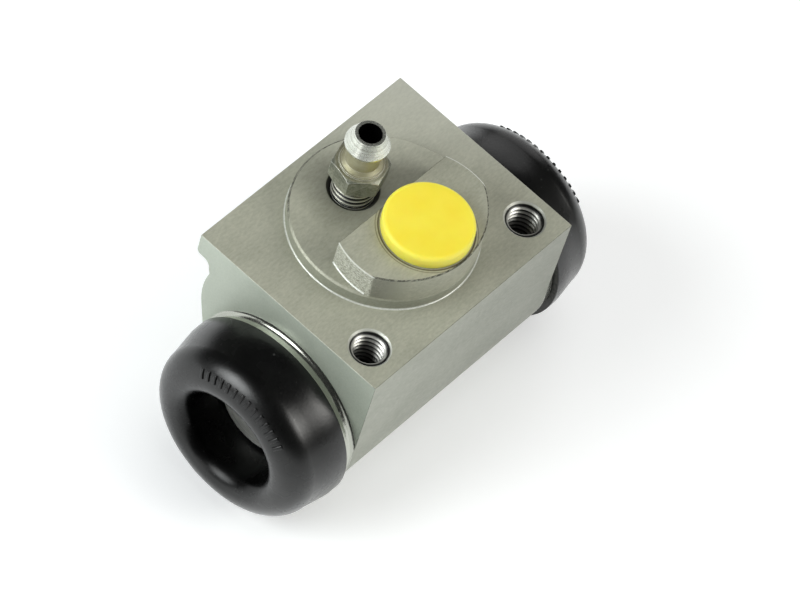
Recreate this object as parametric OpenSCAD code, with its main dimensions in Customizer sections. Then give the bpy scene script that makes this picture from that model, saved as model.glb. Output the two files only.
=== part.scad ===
// Wheel cylinder of a drum brake.
// The origin is on the spigot axis, in the plane of the mounting face.
// X runs along the bore, Z points out of the mounting face, -Y is the side with the tapped holes.

/* [Body] */
// Length of the body between its two end faces
body_len = 44.8; // [40:0.1:56]
// From the spigot axis to the far edge of the mounting face
far_edge = 16.8; // [16:0.1:20]
// From the spigot axis to the bore axis, toward the tapped side
bore_off = 3.8; // [2.5:0.1:5]
// Depth of the bore axis below the mounting face
bore_depth = 20.8; // [19.5:0.1:25]
// Outer radius of the barrel round the bore
barrel_r = 15.2; // [14:0.1:17]
// Diameter of the bore
bore_d = 19.05; // [17.5:0.05:20]
// From the spigot axis to the rounded far wall under the lip
far_wall = 14.15; // [13:0.05:15]
// Depth of the fullest line of the far wall below the mounting face
far_wall_depth = 10.8; // [9:0.1:13]
// Thickness of the lip on the far side
lip_t = 4.3; // [3.5:0.1:5]
// Radius on the lip's lower edge
lip_r = 0.8; // [0.3:0.1:1.4]
// Radius of the groove under the lip
groove_r = 1.5; // [1:0.1:2]
// Set-back of the groove's end corner from its wall
groove_back = 0.55; // [0.2:0.05:1]

/* [Spigot] */
// Diameter of the spigot that centres the cylinder in its backing plate
spigot_d = 30; // [28:0.1:32]
// Height of the spigot's low half
spigot_h = 2.45; // [1.5:0.05:4]
// Height of the raised half that carries the fluid port
boss_h = 7.35; // [6:0.05:9]
// Radius of the raised half's two ends
boss_end_r = 13; // [12.5:0.1:14]
// Offset of that radius's centre from the spigot axis
boss_end_off = 5; // [4:0.1:6]
// Gap from the spigot axis to the step between the halves
step_off = 0.2; // [0:0.05:0.6]
// Draft of the raised half's wall, from its foot to its top
boss_draft = 0.15; // [0.05:0.05:0.4]
// Chamfer on the spigot's edges
spigot_chamfer = 0.3; // [0.1:0.05:0.5]

/* [Tapped holes] */
// Distance between the two tapped holes
tap_pitch = 35.3; // [34:0.1:38]
// Offset of the tapped holes from the spigot axis
tap_off = 13.5; // [13:0.1:15]
// Thread diameter of the tapped holes
tap_d = 6; // [5:0.5:6]
// Depth of the thread
tap_depth = 9; // [7:0.5:10]
// Depth of the drilled hole below the thread
tap_run_out = 2; // [1:0.5:2.5]
// Width of the countersink round each thread
tap_sink = 0.4; // [0.2:0.05:0.8]

/* [Ports] */
// Offset of the fluid port from the spigot axis
port_off = 7.2; // [6.8:0.1:7.6]
// Thread diameter of the fluid port
port_d = 10; // [8:0.5:10.5]
// Depth of the port's thread below the raised face
port_depth = 12; // [10:0.5:13]
// Offset of the bleed screw from the spigot axis
bleed_off = 6.75; // [6.4:0.05:7.2]
// Thread diameter of the bleed screw
bleed_d = 7; // [6:0.5:7.5]
// Depth of the bleed thread below the low spigot face
bleed_depth = 12; // [10:0.5:13]
// Diameter of the drillings from the ports to the bore
drill_d = 3.4; // [3.2:0.1:4]
// Width of the countersink round the bleed thread
bleed_sink = 0.7; // [0.3:0.05:1]

/* [Ends] */
// Radius of the turned collar behind each boot
collar_r = 15.0; // [14:0.1:15.2]
// Length of the collar
collar_w = 2; // [1:0.1:3]
// Radius of the hollow fillet between the collar and the sawn end
collar_fillet = 0.9; // [0.4:0.1:1]
// Depth of the boot groove below the collar
boot_groove = 2; // [1.4:0.1:2.6]
// Length of the boot groove
boot_groove_w = 2; // [1.5:0.1:2.6]
// Length of the nose ring that keeps the boot on
keep_w = 1.4; // [1:0.1:2]
// Height of the nose ring above the boot groove
keep_h = 1.1; // [0.8:0.1:1.3]
// Chamfer at the bore's mouth and on the collar
end_chamfer = 0.4; // [0.2:0.05:0.6]

/* [Dust boots] */
// Radius of the boot's lip
boot_lip_r = 16; // [15.6:0.1:17]
// Rounding of the boot's lip
boot_lip_round = 0.7; // [0.3:0.05:0.9]
// Radius of the boot where its round front starts
boot_side_r = 15.2; // [14.9:0.1:16]
// Radius of the boot's round front
boot_front_r = 4.4; // [4:0.1:5]
// Distance from the body's end face to the centre of the round front
boot_front_x = 8.2; // [7.6:0.1:9.5]
// Rounding of the boot's inner rim
boot_rim_round = 1.2; // [0.8:0.1:1.6]
// Radius of the hole through the boot
boot_hole_r = 8.1; // [7.6:0.1:8.4]
// Distance from the body's end face to where the hole's funnel ends
boot_funnel_x = 9; // [8:0.1:9.6]
// Thickness of the boot's wall
boot_wall = 1.6; // [1.2:0.1:2]

/* [Pistons] */
// Distance that each piston's nose stands out of the body's end face
nose_out = 4.9; // [4:0.1:6]
// Radius of the piston's nose
nose_r = 7.1; // [6.6:0.1:7.2]
// Length of the nose in front of the boot groove
nose_w = 3.8; // [3.4:0.1:4.4]
// Width of the piston's boot groove
neck_w = 2.2; // [1.8:0.1:2.6]
// Depth of the piston's boot groove
neck_depth = 1; // [0.8:0.1:1.4]
// Width of the slot for the brake shoe
slot_w = 5.4; // [5:0.1:6]
// Depth of the slot for the brake shoe
slot_depth = 3.2; // [2.5:0.1:3.3]
// Chamfer on the piston's edges
piston_chamfer = 0.4; // [0.2:0.05:0.6]

/* [Cups and spring] */
// Distance from the middle of the bore to the back of each cup
cup_back = 10; // [9:0.1:11]
// Length of each cup
cup_len = 4.5; // [4:0.1:5]
// Thickness of the cup's floor
cup_floor = 2.4; // [2:0.1:2.6]
// Thickness of the cup's lip
cup_lip = 1.6; // [1.3:0.1:1.9]
// Thickness of the expander's sheet
expander_t = 0.8; // [0.6:0.1:1]
// Mean radius of the spring's coils
spring_r = 4.2; // [3.6:0.1:4.6]
// Diameter of the spring wire
wire_d = 1.1; // [0.8:0.05:1.2]
// Number of turns of the spring
spring_turns = 5; // [4:1:6]

/* [Bleed screw] */
// Width across the flats of the hexagon
hex_af = 8; // [7:0.5:8.5]
// Height of the hexagon's underside above the low spigot face
hex_up = 3.5; // [2.5:0.1:4]
// Height of the hexagon
hex_h = 3.6; // [3:0.1:4.5]
// Turn of the hexagon when the screw is closed
hex_turn = 17; // [0:0.5:59.5]
// Radius of the neck under the nipple
nipple_neck_r = 2.7; // [2.5:0.05:3]
// Length of that neck
nipple_neck_h = 3.9; // [2.5:0.1:5]
// Size of the flare at the neck's foot
neck_flare = 0.5; // [0.2:0.05:0.7]
// Radius of the nipple's shoulder
nipple_r = 3.5; // [3.2:0.05:4]
// Height of the nipple above its neck
nipple_h = 3.4; // [3:0.1:5]
// Radius of the nipple's tip
nipple_tip_r = 2.35; // [2.2:0.05:2.8]
// Radius of the nipple's mouth
nipple_mouth_r = 1.8; // [1.5:0.05:1.9]
// Radius of the screw's inner drilling
inner_drill_r = 1.1; // [0.8:0.05:1.2]
// Depth of the screw's thread, where it shows under the hexagon
thread_depth = 0.35; // [0.2:0.05:0.5]
// Length of the screw's plain nose
screw_nose = 2; // [1.5:0.1:3]
// Depth of the plain nose below the thread
screw_nose_step = 0.9; // [0.6:0.05:1]
// Length of the lead-in from the nose to the thread
screw_lead = 1; // [0.5:0.1:1.5]
// Height of the cross drilling above the screw's seat
cross_drill_up = 1.2; // [1:0.1:2]
// Height of the low ring on the hexagon
ring_h = 0.35; // [0.2:0.05:0.6]
// Gap from the hexagon's flats to that ring
ring_in = 0.5; // [0.3:0.05:0.8]
// Length of the nipple's widest band
nipple_band = 0.3; // [0.2:0.05:1]

/* [Port plug] */
// Radius of the plug's head
plug_r = 7.15; // [6.5:0.05:7.4]
// Thickness of the plug's head
plug_head = 2.2; // [1.6:0.1:3]
// Rounding of the head's edge
plug_round = 0.6; // [0.3:0.05:0.8]
// Length of the plug's stem
plug_stem = 8; // [6:0.5:9]
// Wall of the plug's stem
plug_wall = 1.2; // [1:0.1:1.6]
// Height of the ribs that grip the thread
plug_rib = 0.4; // [0.2:0.05:0.5]

/* [Fits] */
// Running clearance of pistons and cups in the bore
run_gap = 0.05; // [0.02:0.01:0.1]
// Clearance of the screw and plug in their holes
thread_gap = 0.1; // [0.05:0.01:0.15]
// Clearance between faces that seat on each other
seat_gap = 0.05; // [0.02:0.01:0.1]
// Clearance of rubber round metal that moves
rubber_gap = 0.15; // [0.1:0.01:0.3]

/* [Hidden] */
$fn = 96;
half = body_len / 2;
bore_r = bore_d / 2;
near_edge = bore_off + barrel_r;
drill_r = drill_d / 2;
// nose ring at each end
groove_start = half + collar_w;
land_end = groove_start - end_chamfer / 2;
keep_start = groove_start + boot_groove_w;
body_end = keep_start + keep_w;
boot_groove_r = collar_r - boot_groove;
keep_r = boot_groove_r + keep_h;
// piston stations along the bore, from its middle
nose_end = half + nose_out;
neck_end = nose_end - nose_w;
neck_start = neck_end - neck_w;
neck_r = nose_r - neck_depth;
piston_r = bore_r - run_gap;
piston_back = cup_back + seat_gap;
// boot tube
boot_tube_r = nose_r + rubber_gap;
boot_tip_end = neck_end - rubber_gap;
// cup stations
cup_tip = cup_back - cup_len;
cup_face = cup_back - cup_floor;
cup_in_r = piston_r - cup_lip;
// expander and spring
expander_face = cup_face - seat_gap;
spring_seat = expander_face - expander_t;
spring_len = 2 * (spring_seat - seat_gap);
expander_rim_r = cup_in_r - 2 * rubber_gap;
expander_flat_r = spring_r + wire_d / 2 + 2 * rubber_gap;
expander_rise = min(cup_face - cup_tip, 1.2 * (expander_rim_r - expander_flat_r)) - expander_t;
// bleed screw levels
hex_bottom = spigot_h + hex_up;
hex_top = hex_bottom + hex_h;
neck_top = hex_top + nipple_neck_h;
nipple_top = neck_top + nipple_h;
bleed_floor = spigot_h - bleed_depth;
bleed_r = bleed_d / 2;
screw_r = bleed_r - thread_gap;
screw_nose_r = screw_r - screw_nose_step;
screw_tip_r = drill_r - screw_nose_step / 2;
screw_seat = bleed_floor + seat_gap;
nipple_rise = nipple_r - nipple_neck_r;
thread_top = spigot_h - bleed_sink;
// port plug levels
port_r = port_d / 2;
port_floor = boss_h - port_depth;
plug_seat = boss_h + 2 * seat_gap;
stem_r = port_r - thread_gap;

ALLOY = [0.62, 0.63, 0.57];
RUBBER = [0.06, 0.06, 0.06];
STEEL = [0.55, 0.56, 0.55];
ZINC = [0.74, 0.71, 0.58];
YELLOW = [0.98, 0.90, 0.25];

// Puts a piece drawn along +Z on the bore axis, pointing to the rear (side 1) or the front (side -1).
module on_bore(side)
    translate([0, -bore_off, -bore_depth])
        rotate([0, 90 * side, 0])
            rotate([0, 0, 90])
                children();

// Cylinder along the bore between two stations.
module bore_cylinder(from, to, r)
    translate([0, 0, from])
        cylinder(h = to - from, r = r);

// Section of the extrusion: 2-D x is Y of the part, 2-D y is Z.
module section() {
    barrel = [-bore_off, -bore_depth];
    upper = [far_wall - barrel_r, -far_wall_depth];
    run = upper - barrel;
    side = [run[1], -run[0]] * (barrel_r / norm(run));
    pocket = [far_wall + groove_r - 0.15, -lip_t - groove_r];
    inner = far_wall - 4;
    intersection() {
        translate([-near_edge, -bore_depth - 2 * barrel_r])
            square([near_edge + far_edge, bore_depth + 2 * barrel_r]);
        union() {
            translate(barrel)
                circle(r = barrel_r);
            translate(upper)
                circle(r = barrel_r);
            polygon([barrel + side, upper + side, upper - side, barrel - side]);
            translate([-near_edge, -bore_depth])
                square([near_edge + min(inner, barrel_r - bore_off - 1), bore_depth]);
            lip();
            difference() {
                polygon([
                    [inner, -lip_t / 2],
                    [pocket[0], -lip_t / 2],
                    pocket,
                    pocket - [groove_r, 0],
                    pocket - [groove_r + groove_back, groove_r],
                    [inner, pocket[1] - groove_r]
                ]);
                translate(pocket)
                    circle(r = groove_r);
            }
        }
    }
}

// Flange of the mounting face, with its rounded far edge.
module lip() {
    translate([-near_edge, -lip_t])
        square([near_edge + far_edge - lip_r, lip_t]);
    translate([-near_edge, lip_r - lip_t])
        square([near_edge + far_edge, lip_t - lip_r]);
    translate([far_edge - lip_r, lip_r - lip_t])
        circle(r = lip_r);
}

// Disc with a chamfered top edge, standing on z = 0.
module chamfered_disc(r, h, c) {
    cylinder(h = h - c, r = r);
    translate([0, 0, h - c])
        cylinder(h = c, r1 = r, r2 = r - c);
}

// Spigot: a low disc, and a raised half whose ends are cut back.
module spigot() {
    foot_r = spigot_d / 2;
    top_r = foot_r - boss_draft;
    edge = spigot_chamfer / 2;
    chamfered_disc(foot_r, spigot_h, spigot_chamfer);
    intersection() {
        union() {
            cylinder(h = boss_h - edge, r1 = foot_r, r2 = top_r);
            translate([0, 0, boss_h - edge])
                cylinder(h = edge, r1 = top_r, r2 = top_r - edge);
        }
        translate([0, -boss_end_off, 0])
            cylinder(h = boss_h, r = boss_end_r);
        translate([-spigot_d, -spigot_d - step_off, 0])
            cube([2 * spigot_d, spigot_d, boss_h]);
    }
}

// What the lathe takes off an end: the corner beside the collar, with the tool's round at its foot.
module end_cut() {
    round_r = collar_r + collar_fillet;
    round_z = half + collar_fillet;
    rotate_extrude() {
        translate([round_r, round_z])
            circle(r = collar_fillet);
        translate([round_r, half])
            square([body_len, collar_w + 1]);
        translate([collar_r, round_z])
            square([body_len, collar_w + 1]);
    }
}

// Bar with its ends turned down to the collars.
module turned_bar() {
    difference() {
        rotate([90, 0, 90])
            translate([0, 0, -land_end])
                linear_extrude(2 * land_end)
                    section();
        for (side = [-1, 1])
            on_bore(side)
                end_cut();
    }
}

// Turned end: edge of the collar, boot groove and nose ring.
module turned_end() {
    translate([0, 0, land_end])
        cylinder(h = end_chamfer / 2, r1 = collar_r, r2 = collar_r - end_chamfer / 2);
    bore_cylinder(groove_start - 1, body_end, boot_groove_r);
    bore_cylinder(keep_start, body_end - end_chamfer, keep_r);
    translate([0, 0, body_end - end_chamfer])
        cylinder(h = end_chamfer, r1 = keep_r, r2 = keep_r - end_chamfer);
}

// Tapped hole drilled down from the mounting face, with its drill point.
module tapped_hole() {
    core_r = tap_d / 2 - 0.5;
    translate([0, 0, -tap_depth])
        cylinder(h = tap_depth + 1, r = tap_d / 2);
    translate([0, 0, -tap_depth - tap_run_out])
        cylinder(h = tap_run_out + 1, r = core_r);
    translate([0, 0, -tap_depth - tap_run_out - core_r * 0.6])
        cylinder(h = core_r * 0.6, r1 = 0, r2 = core_r);
    translate([0, 0, -tap_sink])
        cylinder(h = 2 * tap_sink, r1 = tap_d / 2, r2 = tap_d / 2 + 2 * tap_sink);
}

// Threaded port with a conical floor and a drilling down to the bore.
module port_hole(top, floor, r, sink, reach) {
    translate([0, 0, floor])
        cylinder(h = top - floor + 1, r = r);
    translate([0, 0, floor - (r - drill_r)])
        cylinder(h = r - drill_r, r1 = drill_r, r2 = r);
    translate([0, 0, reach])
        cylinder(h = top - reach, r = drill_r);
    translate([0, 0, top - sink])
        cylinder(h = 2 * sink, r1 = r, r2 = r + 2 * sink);
}

module body() {
    color(ALLOY)
        difference() {
            union() {
                turned_bar();
                for (side = [-1, 1])
                    on_bore(side)
                        turned_end();
                translate([0, 0, -1])
                    cylinder(h = 1.5, r = spigot_d / 2 - 0.5);
                spigot();
            }
            on_bore(1)
                bore_cylinder(-body_end - 1, body_end + 1, bore_r);
            for (side = [-1, 1])
                on_bore(side)
                    translate([0, 0, body_end - end_chamfer])
                        cylinder(h = 2 * end_chamfer, r1 = bore_r, r2 = bore_r + 2 * end_chamfer);
            for (side = [-1, 1])
                translate([side * tap_pitch / 2, -tap_off, 0])
                    tapped_hole();
            translate([0, -port_off, 0])
                port_hole(boss_h, port_floor, port_r, 0.4, -bore_depth);
            translate([0, bleed_off, 0])
                port_hole(spigot_h, bleed_floor, bleed_r, bleed_sink, -bore_depth);
        }
}

// Piston, drawn along +Z from the middle of the bore outward.
module piston() {
    difference() {
        union() {
            translate([0, 0, piston_back])
                cylinder(h = piston_chamfer, r1 = piston_r - piston_chamfer, r2 = piston_r);
            bore_cylinder(piston_back + piston_chamfer, neck_start - piston_chamfer, piston_r);
            translate([0, 0, neck_start - piston_chamfer])
                cylinder(h = piston_chamfer, r1 = piston_r, r2 = piston_r - piston_chamfer);
            bore_cylinder(neck_start - 1, neck_end + 1, neck_r);
            bore_cylinder(neck_end, nose_end - piston_chamfer, nose_r);
            translate([0, 0, nose_end - piston_chamfer])
                cylinder(h = piston_chamfer, r1 = nose_r, r2 = nose_r - piston_chamfer);
        }
        translate([-2 * nose_r, -slot_w / 2, nose_end - slot_depth])
            cube([4 * nose_r, slot_w, slot_depth + 1]);
    }
}

module piston_front()
    color(STEEL)
        on_bore(-1)
            piston();

module piston_rear()
    color(STEEL)
        on_bore(1)
            piston();

// Pressure cup: a floor against the piston and a flared lip toward the fluid.
module cup()
    rotate_extrude()
        polygon([
            [0, cup_back],
            [piston_r - 0.4, cup_back],
            [piston_r - 0.25, cup_back - cup_floor / 2],
            [piston_r, cup_tip + 0.8],
            [piston_r, cup_tip + 0.3],
            [piston_r - 0.5, cup_tip],
            [piston_r - 0.8, cup_tip],
            [cup_in_r, cup_face - 0.6],
            [cup_in_r - 0.6, cup_face],
            [0, cup_face]
        ]);

module cup_front()
    color(RUBBER)
        on_bore(-1)
            cup();

module cup_rear()
    color(RUBBER)
        on_bore(1)
            cup();

// Expander: a pressed dish, flat where the spring seats and flared into the cup's lip.
module expander()
    rotate_extrude()
        polygon([
            [1.2, expander_face],
            [expander_flat_r + expander_t / 2, expander_face],
            [expander_rim_r, expander_face - expander_rise],
            [expander_rim_r, expander_face - expander_rise - expander_t],
            [expander_rim_r - expander_t / 2, expander_face - expander_rise - expander_t],
            [expander_flat_r, spring_seat],
            [1.2, spring_seat]
        ]);

module expander_front()
    color(STEEL)
        on_bore(-1)
            expander();

module expander_rear()
    color(STEEL)
        on_bore(1)
            expander();

// One ring of the spring wire at turn angle a and height z.
function wire_ring(a, z, n) = [
    for (k = [0 : n - 1])
        let (r = spring_r + wire_d / 2 * cos(360 * k / n))
            [r * cos(a), r * sin(a), z + wire_d / 2 * sin(360 * k / n)]
];

// Compression spring with its end turns closed.
module spring() {
    sides = 8;
    steps = 20;
    count = steps * spring_turns;
    lift = spring_len - wire_d;
    points = [
        for (i = [0 : count])
            let (t = i / count, s = t * t * (3 - 2 * t))
                each wire_ring(360 * i / steps, lift * (0.25 * t + 0.75 * s) - lift / 2, sides)
    ];
    skin = [
        for (i = [0 : count - 1], k = [0 : sides - 1])
            let (m = (k + 1) % sides)
                [i * sides + k, i * sides + m, (i + 1) * sides + m, (i + 1) * sides + k]
    ];
    color(STEEL)
        on_bore(1)
            polyhedron(points, concat([for (f = skin) [f[3], f[2], f[1], f[0]]], [
                [for (k = [0 : sides - 1]) k],
                [for (k = [sides - 1 : -1 : 0]) count * sides + k]
            ]), convexity = 8);
}

// Section of a dust boot: 2-D x is the radius, 2-D y the distance from the middle of the bore.
module boot_section() {
    front = [boot_side_r - boot_front_r, half + boot_front_x];
    rim = front + [0, boot_front_r - boot_rim_round];
    crest = front[1] + boot_front_r;
    funnel = half + boot_funnel_x;
    hole_edge = [boot_hole_r, funnel];
    slope = rim - hole_edge;
    lean = atan2(slope[1], slope[0]) + asin(boot_rim_round / norm(slope));
    touch = hole_edge + sqrt(slope * slope - pow(boot_rim_round, 2)) * [cos(lean), sin(lean)];
    cave_in = bore_r - 2 * rubber_gap;
    cave_out = boot_side_r - boot_wall;
    cave_r = (cave_out - cave_in) / 2;
    difference() {
        union() {
            intersection() {
                translate(front)
                    circle(r = boot_front_r);
                translate([0, front[1]])
                    square([2 * boot_side_r, boot_front_r]);
            }
            boot_side(front, cave_out);
            boot_tube(front, funnel, cave_in);
        }
        // mouth of the hole, up to the rounded rim
        difference() {
            polygon([[0, funnel], hole_edge, touch, [rim[0], crest], [rim[0], crest + 1], [0, crest + 1]]);
            translate(rim)
                circle(r = boot_rim_round);
        }
        polygon([[0, boot_tip_end], [boot_tube_r, boot_tip_end], hole_edge, [0, funnel]]);
        // hollow of the round front
        intersection() {
            translate([cave_in + cave_r, front[1]])
                circle(r = cave_r);
            translate([0, front[1] - 0.01])
                square([2 * boot_side_r, boot_front_r]);
        }
    }
}

// Side of the boot: a bead in the body's groove, a rounded lip and a wall that tapers to the front.
module boot_side(front, cave_out) {
    lip = groove_start + seat_gap;
    bead_r = boot_groove_r + seat_gap;
    bead_end = keep_start - seat_gap;
    over_r = keep_r + seat_gap;
    round_at = [boot_lip_r - boot_lip_round, lip + boot_lip_round];
    translate(round_at)
        circle(r = boot_lip_round);
    polygon([
        [bead_r, lip],
        [round_at[0], lip],
        round_at,
        [boot_lip_r, round_at[1]],
        [boot_lip_r, round_at[1] + boot_lip_round],
        [boot_side_r, front[1]],
        [cave_out, front[1]],
        [cave_out, body_end + 2 * rubber_gap + over_r - cave_out],
        [over_r, body_end + 2 * rubber_gap],
        [over_r, bead_end],
        [bead_r, bead_end]
    ]);
}

// Tube of the boot: from the hole down into the bore's mouth, with a tip in the piston's groove.
module boot_tube(front, funnel, cave_in)
    polygon([
        [boot_tube_r, boot_tip_end],
        [neck_r + rubber_gap, boot_tip_end],
        [neck_r + rubber_gap, neck_start + rubber_gap],
        [cave_in - 0.3, neck_start + rubber_gap],
        [cave_in, body_end],
        [cave_in, front[1] + 0.5],
        [front[0], front[1] + 0.5],
        [boot_hole_r, funnel]
    ]);

module boot()
    rotate_extrude()
        boot_section();

module boot_front()
    color(RUBBER)
        on_bore(-1)
            boot();

module boot_rear()
    color(RUBBER)
        on_bore(1)
            boot();

// Hexagon with both ends chamfered by cones.
module chamfered_hex(af, h) {
    corner = af / 2 / cos(30);
    drop = (corner - af / 2) * 0.6;
    intersection() {
        cylinder(h = h, r = corner, $fn = 6);
        union() {
            cylinder(h = drop, r1 = af / 2, r2 = corner);
            translate([0, 0, drop])
                cylinder(h = h - 2 * drop, r = corner);
            translate([0, 0, h - drop])
                cylinder(h = drop, r1 = corner, r2 = af / 2);
        }
    }
}

// Seat, plain nose and thread of the bleed screw, up to its hexagon.
module screw_shank() {
    nose_bottom = screw_seat - bleed_r + screw_nose_r;
    thread_bottom = screw_seat + screw_nose + screw_lead;
    translate([0, 0, screw_seat - bleed_r + screw_tip_r])
        cylinder(h = screw_nose_r - screw_tip_r, r1 = screw_tip_r, r2 = screw_nose_r);
    translate([0, 0, nose_bottom])
        cylinder(h = screw_seat + screw_nose - nose_bottom, r = screw_nose_r);
    translate([0, 0, screw_seat + screw_nose])
        cylinder(h = screw_lead, r1 = screw_nose_r, r2 = screw_r);
    translate([0, 0, thread_bottom])
        cylinder(h = thread_top - thread_bottom, r = screw_r);
    translate([0, 0, thread_bottom])
        cylinder(h = hex_bottom + hex_h / 2 - thread_bottom, r = screw_r - thread_depth);
}

// Neck and barbed nipple that take the bleed hose.
module screw_nipple() {
    translate([0, 0, hex_top - hex_h / 2])
        cylinder(h = hex_h / 2 + ring_h, r = hex_af / 2 - ring_in);
    translate([0, 0, hex_top])
        cylinder(h = nipple_neck_h + nipple_rise / 2, r = nipple_neck_r);
    translate([0, 0, hex_top + ring_h])
        cylinder(h = neck_flare, r1 = nipple_neck_r + neck_flare, r2 = nipple_neck_r);
    translate([0, 0, neck_top])
        cylinder(h = nipple_rise, r1 = nipple_neck_r, r2 = nipple_r);
    translate([0, 0, neck_top + nipple_rise])
        cylinder(h = nipple_band, r = nipple_r);
    translate([0, 0, neck_top + nipple_rise + nipple_band])
        cylinder(h = nipple_h - nipple_rise - nipple_band, r1 = nipple_r, r2 = nipple_tip_r);
}

module bleed_screw()
    color(ZINC)
        translate([0, bleed_off, 0])
            difference() {
                union() {
                    screw_shank();
                    translate([0, 0, hex_bottom])
                        rotate([0, 0, hex_turn])
                            chamfered_hex(hex_af, hex_h);
                    screw_nipple();
                }
                translate([0, 0, hex_top])
                    cylinder(h = nipple_top, r = nipple_mouth_r);
                translate([0, 0, screw_seat + cross_drill_up])
                    cylinder(h = hex_top - screw_seat, r = inner_drill_r);
                translate([-bleed_d, 0, screw_seat + cross_drill_up])
                    rotate([0, 90, 0])
                        cylinder(h = 2 * bleed_d, r = inner_drill_r * 0.8);
            }

// Push-in plug: a rounded head over a hollow stem with gripping ribs.
module port_plug() {
    stem_out = stem_r - plug_rib;
    stem_in = stem_out - plug_wall;
    tip = plug_seat - plug_stem;
    ribs = [
        for (z = [plug_seat - 1.2 : -1.8 : tip + 1.8])
            each [[stem_out, z], [stem_r, z - plug_rib], [stem_r, z - 2 * plug_rib], [stem_out, z - 3 * plug_rib]]
    ];
    color(YELLOW)
        translate([0, -port_off, 0]) {
            translate([0, 0, plug_seat])
                rotate_extrude()
                    union() {
                        square([plug_r, plug_head - plug_round]);
                        square([plug_r - plug_round, plug_head]);
                        translate([plug_r - plug_round, plug_head - plug_round])
                            circle(r = plug_round);
                    }
            rotate_extrude()
                polygon(concat(
                    [[stem_in, plug_seat + plug_wall / 2], [stem_out, plug_seat + plug_wall / 2]],
                    ribs,
                    [[stem_out, tip + plug_rib], [stem_out - plug_rib, tip], [stem_in, tip]]
                ));
        }
}

body();
piston_front();
piston_rear();
cup_front();
cup_rear();
expander_front();
expander_rear();
spring();
boot_front();
boot_rear();
bleed_screw();
port_plug();
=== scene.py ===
"""Wheel cylinder of a drum brake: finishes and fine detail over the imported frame."""
import math

import bmesh
import bpy
from mathutils import Matrix, Vector


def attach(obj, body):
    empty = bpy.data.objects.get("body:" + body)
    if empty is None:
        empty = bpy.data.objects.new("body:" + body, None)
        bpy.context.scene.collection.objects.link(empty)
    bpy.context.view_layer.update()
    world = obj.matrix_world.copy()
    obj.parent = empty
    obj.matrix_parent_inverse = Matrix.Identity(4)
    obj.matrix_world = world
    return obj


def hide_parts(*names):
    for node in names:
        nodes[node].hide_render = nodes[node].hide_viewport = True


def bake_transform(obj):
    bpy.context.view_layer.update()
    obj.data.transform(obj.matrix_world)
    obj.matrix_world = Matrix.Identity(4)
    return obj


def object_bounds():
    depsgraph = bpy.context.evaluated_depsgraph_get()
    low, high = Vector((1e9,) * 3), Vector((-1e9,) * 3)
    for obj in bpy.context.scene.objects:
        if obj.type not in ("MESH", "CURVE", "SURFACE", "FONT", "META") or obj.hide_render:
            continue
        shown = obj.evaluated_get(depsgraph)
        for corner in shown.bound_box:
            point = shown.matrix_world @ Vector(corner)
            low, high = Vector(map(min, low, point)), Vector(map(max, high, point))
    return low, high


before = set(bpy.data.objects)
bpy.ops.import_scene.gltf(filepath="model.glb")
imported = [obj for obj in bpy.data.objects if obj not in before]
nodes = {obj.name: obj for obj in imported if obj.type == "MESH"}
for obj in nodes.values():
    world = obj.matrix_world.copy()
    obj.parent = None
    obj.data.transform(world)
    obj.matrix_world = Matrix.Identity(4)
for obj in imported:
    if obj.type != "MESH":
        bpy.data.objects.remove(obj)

cad_low, cad_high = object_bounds()

# Sizes in millimetres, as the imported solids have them.
MM = 0.001
BORE = Vector((0, -3.8, -20.8))
END_FACE = 22.4
SPIGOT_R = 15.0
SPIGOT_H = 2.45
BOSS_H = 7.35
BOSS_END_R = 13.0
BOSS_END_Y = -5.0
HOLE_PITCH = 35.3
HOLE_Y = -13.5
HOLE_R = 3.0
BLEED_Y = 6.75
HEX_BOTTOM = 5.95
HEX_TOP = 9.55
NIPPLE_FOOT = 13.45
MOUTH_R = 1.85
PORT_Y = -7.2

# Axes that a distance is taken from: (y, z) for the bore, (x, y) for the others.
BORE_AXIS = (BORE.y, BORE.z)
HOLE_AXIS = (HOLE_PITCH / 2, HOLE_Y)
BLEED_AXIS = (0.0, BLEED_Y)
PORT_AXIS = (0.0, PORT_Y)
BOSS_END_AXIS = (0.0, BOSS_END_Y)

# Dust boot: (radius, distance from the middle of the bore).
LIP = 24.45
LIP_R = 15.99
LIP_ROUND = 0.15
FLANK = [(LIP_R - 0.02, 26.2), (15.75, 27.6), (15.50, 29.0)]
FRONT = (10.8, 30.6)
FRONT_R = 4.4
RIM = (10.8, 32.4)
RIM_R = 2.6
HOLE_EDGE = (8.1, 31.4)
CAVE = (11.4125, 30.6)
CAVE_R = 2.1875
BEAD_R = 13.05
BEAD = [(13.6, 28.65), (14.15, 28.1), (14.15, 26.35), (BEAD_R, 26.35)]
TUBE_INSIDE = [(7.65, 27.3), (7.25, 23.5), (7.1, 23.35), (6.4, 23.35)]
TUBE_TIP = [(6.25, 23.2), (6.25, 21.6), (6.4, 21.45)]
TUBE_OUTSIDE = [(8.7, 21.45), (8.95, 21.9), (9.225, 27.8)]

# Raised bars on the boot's shoulder; their angles about the bore and on the shoulder's round in degrees.
BAR_WIDTH = 0.62
BAR_HEIGHT = 0.40
BAR_ROUND = 0.17
BAR_COUNT = 14
BAR_FIRST = 58.0
BAR_STEP = 5.85
BAR_FROM = 50.0
BAR_OVER = 20.0

# Fillets at the foot of the spigot and of the raised half's ends; start and sweep in degrees.
SPIGOT_FILLET = 0.20
RAISED_FILLET = 0.22
RAISED_START = {"front": 159.0, "rear": -10.0}
RAISED_SWEEP = 31.0

# Threads and inner spring.
THREAD_PITCH = 1.0
THREAD_FOOT = 0.90
HOLE_THREAD_TURNS = 8.0
HOLE_THREAD_LOW = -8.2
BLEED_THREAD_TURNS = 3.6
BLEED_THREAD_R = 3.03
BLEED_THREAD_LOW = HEX_BOTTOM - 3.95
COIL_R = 4.2
COIL_TURNS = 2.5
COIL_REACH = 6.7
WIRE_R = 0.55


# Node trees


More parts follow.
